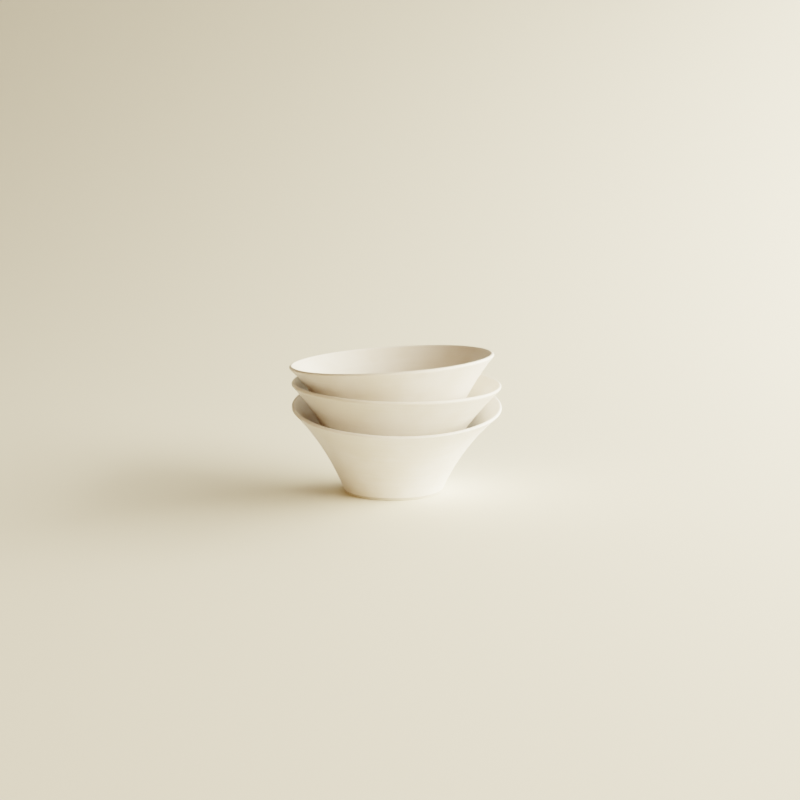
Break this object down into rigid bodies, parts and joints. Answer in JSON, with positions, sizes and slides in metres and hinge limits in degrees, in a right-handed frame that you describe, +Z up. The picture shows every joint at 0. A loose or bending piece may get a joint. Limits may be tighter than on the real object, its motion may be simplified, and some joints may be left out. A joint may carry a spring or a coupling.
{
  "type": "nested stack of flared porcelain bowls",
  "caption": "Nested stack of plain white porcelain bowls with a small flat foot, a wall that flares out to a thin round lip, and no handle or lid.",
  "frame": {"origin": "below the middle of the stack's outline, on the plane that the stack stands on", "axes": "+Z up along the way the bowls lift, +X to the right and -Y to the front, where the bottom bowl's rim is lowest"},
  "size_m": [0.1218, 0.1212, 0.0804],
  "materials": {
    "porcelain_bottom": "satin warm white glaze",
    "porcelain_middle": "satin warm white glaze",
    "porcelain_top": "satin warm white glaze"
  },
  "bodies": {
    "bottom_bowl": {"bottom_bowl": "porcelain_bottom"},
    "middle_bowl": {"middle_bowl": "porcelain_middle"},
    "top_bowl": {"top_bowl": "porcelain_top"}
  },
  "joints": [
    {"name": "middle_bowl_lift", "type": "slide", "parent": "bottom_bowl", "child": "middle_bowl", "axis": [0, 0, 1], "range_m": [0, 0.06]},
    {"name": "top_bowl_lift", "type": "slide", "parent": "middle_bowl", "child": "top_bowl", "axis": [0, 0, 1], "range_m": [0, 0.06]}
  ]
}
